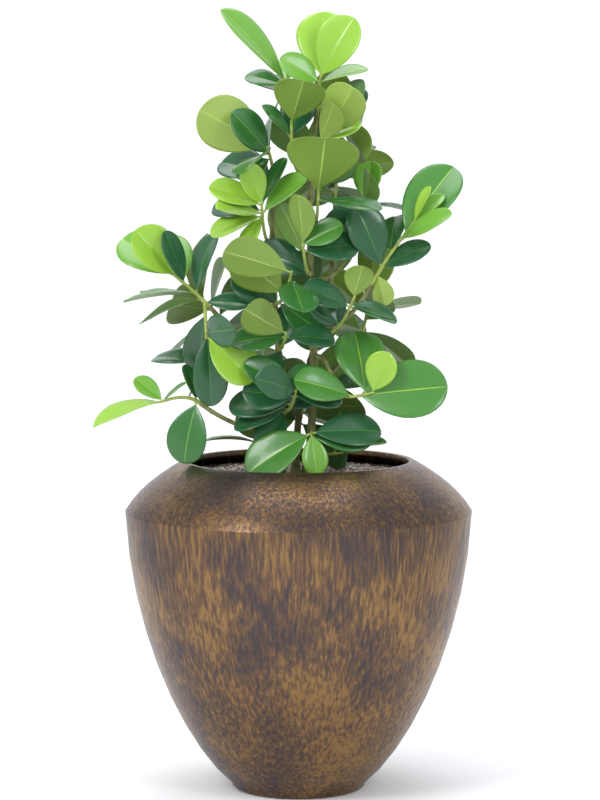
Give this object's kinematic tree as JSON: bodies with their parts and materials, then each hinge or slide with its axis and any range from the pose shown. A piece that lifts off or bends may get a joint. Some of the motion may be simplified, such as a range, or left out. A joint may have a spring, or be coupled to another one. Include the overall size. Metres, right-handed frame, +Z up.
{
  "type": "potted autograph tree",
  "caption": "Young multi-stemmed autograph tree with thick paired obovate leaves, standing in a round bulbous bronze-finished planter filled with grit.",
  "frame": {"origin": "centre of the planter's flat underside", "axes": "+Z up along the planter's axis; -Y is the front of the plant"},
  "size_m": [0.5398, 0.499, 1.1228],
  "materials": {
    "planter_finish": "hand-rubbed bronze with dark patina, satin",
    "grit": "loose mixed grit, matt",
    "bark": "smooth green young bark, satin",
    "leaf": "thick leathery leaf, satin"
  },
  "bodies": {
    "root": {"pot": "planter_finish", "filling": "grit", "stem_centre": "bark", "stem_left": "bark", "stem_right": "bark", "bough_left": "bark", "bough_lower_left": "bark", "bough_right": "bark", "bough_upper_right": "bark", "bough_lower_right": "bark", "bough_back_left": "bark", "bough_back_right": "bark", "foliage_top": "leaf", "foliage_top_left": "leaf", "foliage_top_front": "leaf", "foliage_upper_left": "leaf", "foliage_upper_centre": "leaf", "foliage_centre_upper": "leaf", "foliage_mid_left": "leaf", "foliage_left_fan": "leaf", "foliage_left_mid": "leaf", "foliage_right_fan": "leaf", "foliage_upper_right": "leaf", "foliage_centre": "leaf", "foliage_centre_low": "leaf", "foliage_right_mid": "leaf", "foliage_lower_left": "leaf", "foliage_lower_centre": "leaf", "foliage_lower_right": "leaf", "foliage_front_low": "leaf", "foliage_low_right": "leaf", "foliage_low_left": "leaf", "foliage_back_top": "leaf", "foliage_back_upper": "leaf", "foliage_back_mid": "leaf", "foliage_back_left": "leaf", "foliage_back_right": "leaf", "foliage_back_low": "leaf"}
  },
  "joints": []
}
